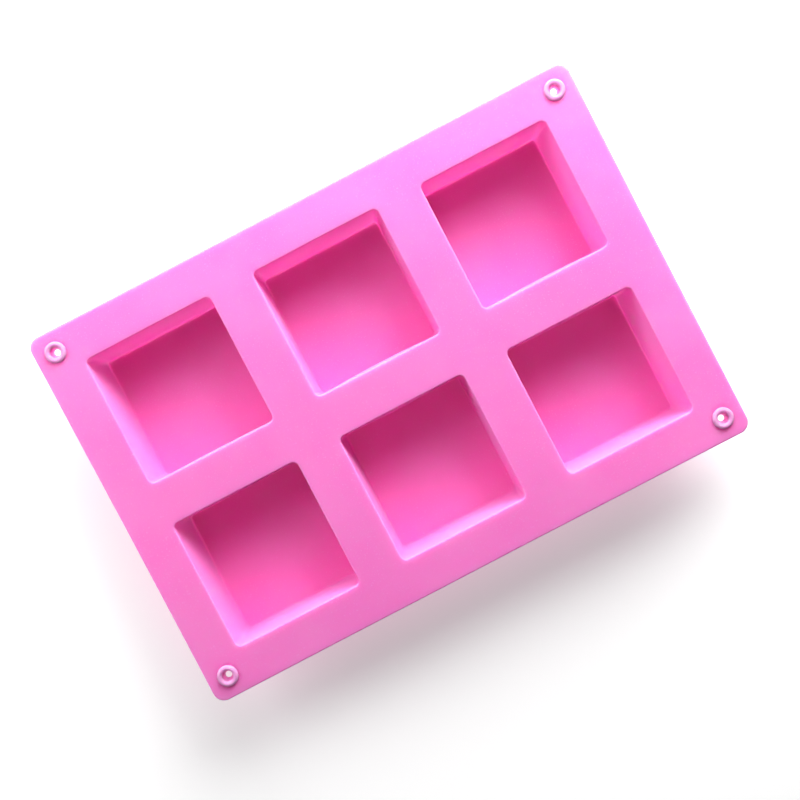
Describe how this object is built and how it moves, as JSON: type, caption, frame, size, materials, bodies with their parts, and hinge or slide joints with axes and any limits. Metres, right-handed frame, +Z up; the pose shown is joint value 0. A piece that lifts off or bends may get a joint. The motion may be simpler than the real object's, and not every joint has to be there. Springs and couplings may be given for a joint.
{
  "type": "silicone soap bar mould",
  "caption": "Flat flexible silicone mould with a grid of square wells for soap bars, a thin deck that folds along its centre web, and a ringed hanging hole in each corner.",
  "frame": {"origin": "centre of the footprint, on the plane that the undersides of the wells stand on", "axes": "+X along the long side and the fold line, +Y across it towards the back row, +Z up out of the wells"},
  "size_m": [0.25, 0.17, 0.0283],
  "materials": {
    "silicone": "satin, slightly translucent, pink"
  },
  "bodies": {
    "front_half": {"front_deck": "silicone", "front_left_well": "silicone", "front_middle_well": "silicone", "front_right_well": "silicone", "front_left_corner_eyelet": "silicone", "front_right_corner_eyelet": "silicone", "fold_web": "silicone"},
    "back_half": {"back_deck": "silicone", "back_left_well": "silicone", "back_middle_well": "silicone", "back_right_well": "silicone", "back_left_corner_eyelet": "silicone", "back_right_corner_eyelet": "silicone"}
  },
  "joints": [
    {"name": "centre_fold", "type": "hinge", "parent": "front_half", "child": "back_half", "pos_m": [0, 0, 0.02575], "axis": [1, 0, 0], "range_deg": [-35, 90], "stiffness_Nm_per_rad": 0.025, "deforming": ["fold_web"]}
  ]
}
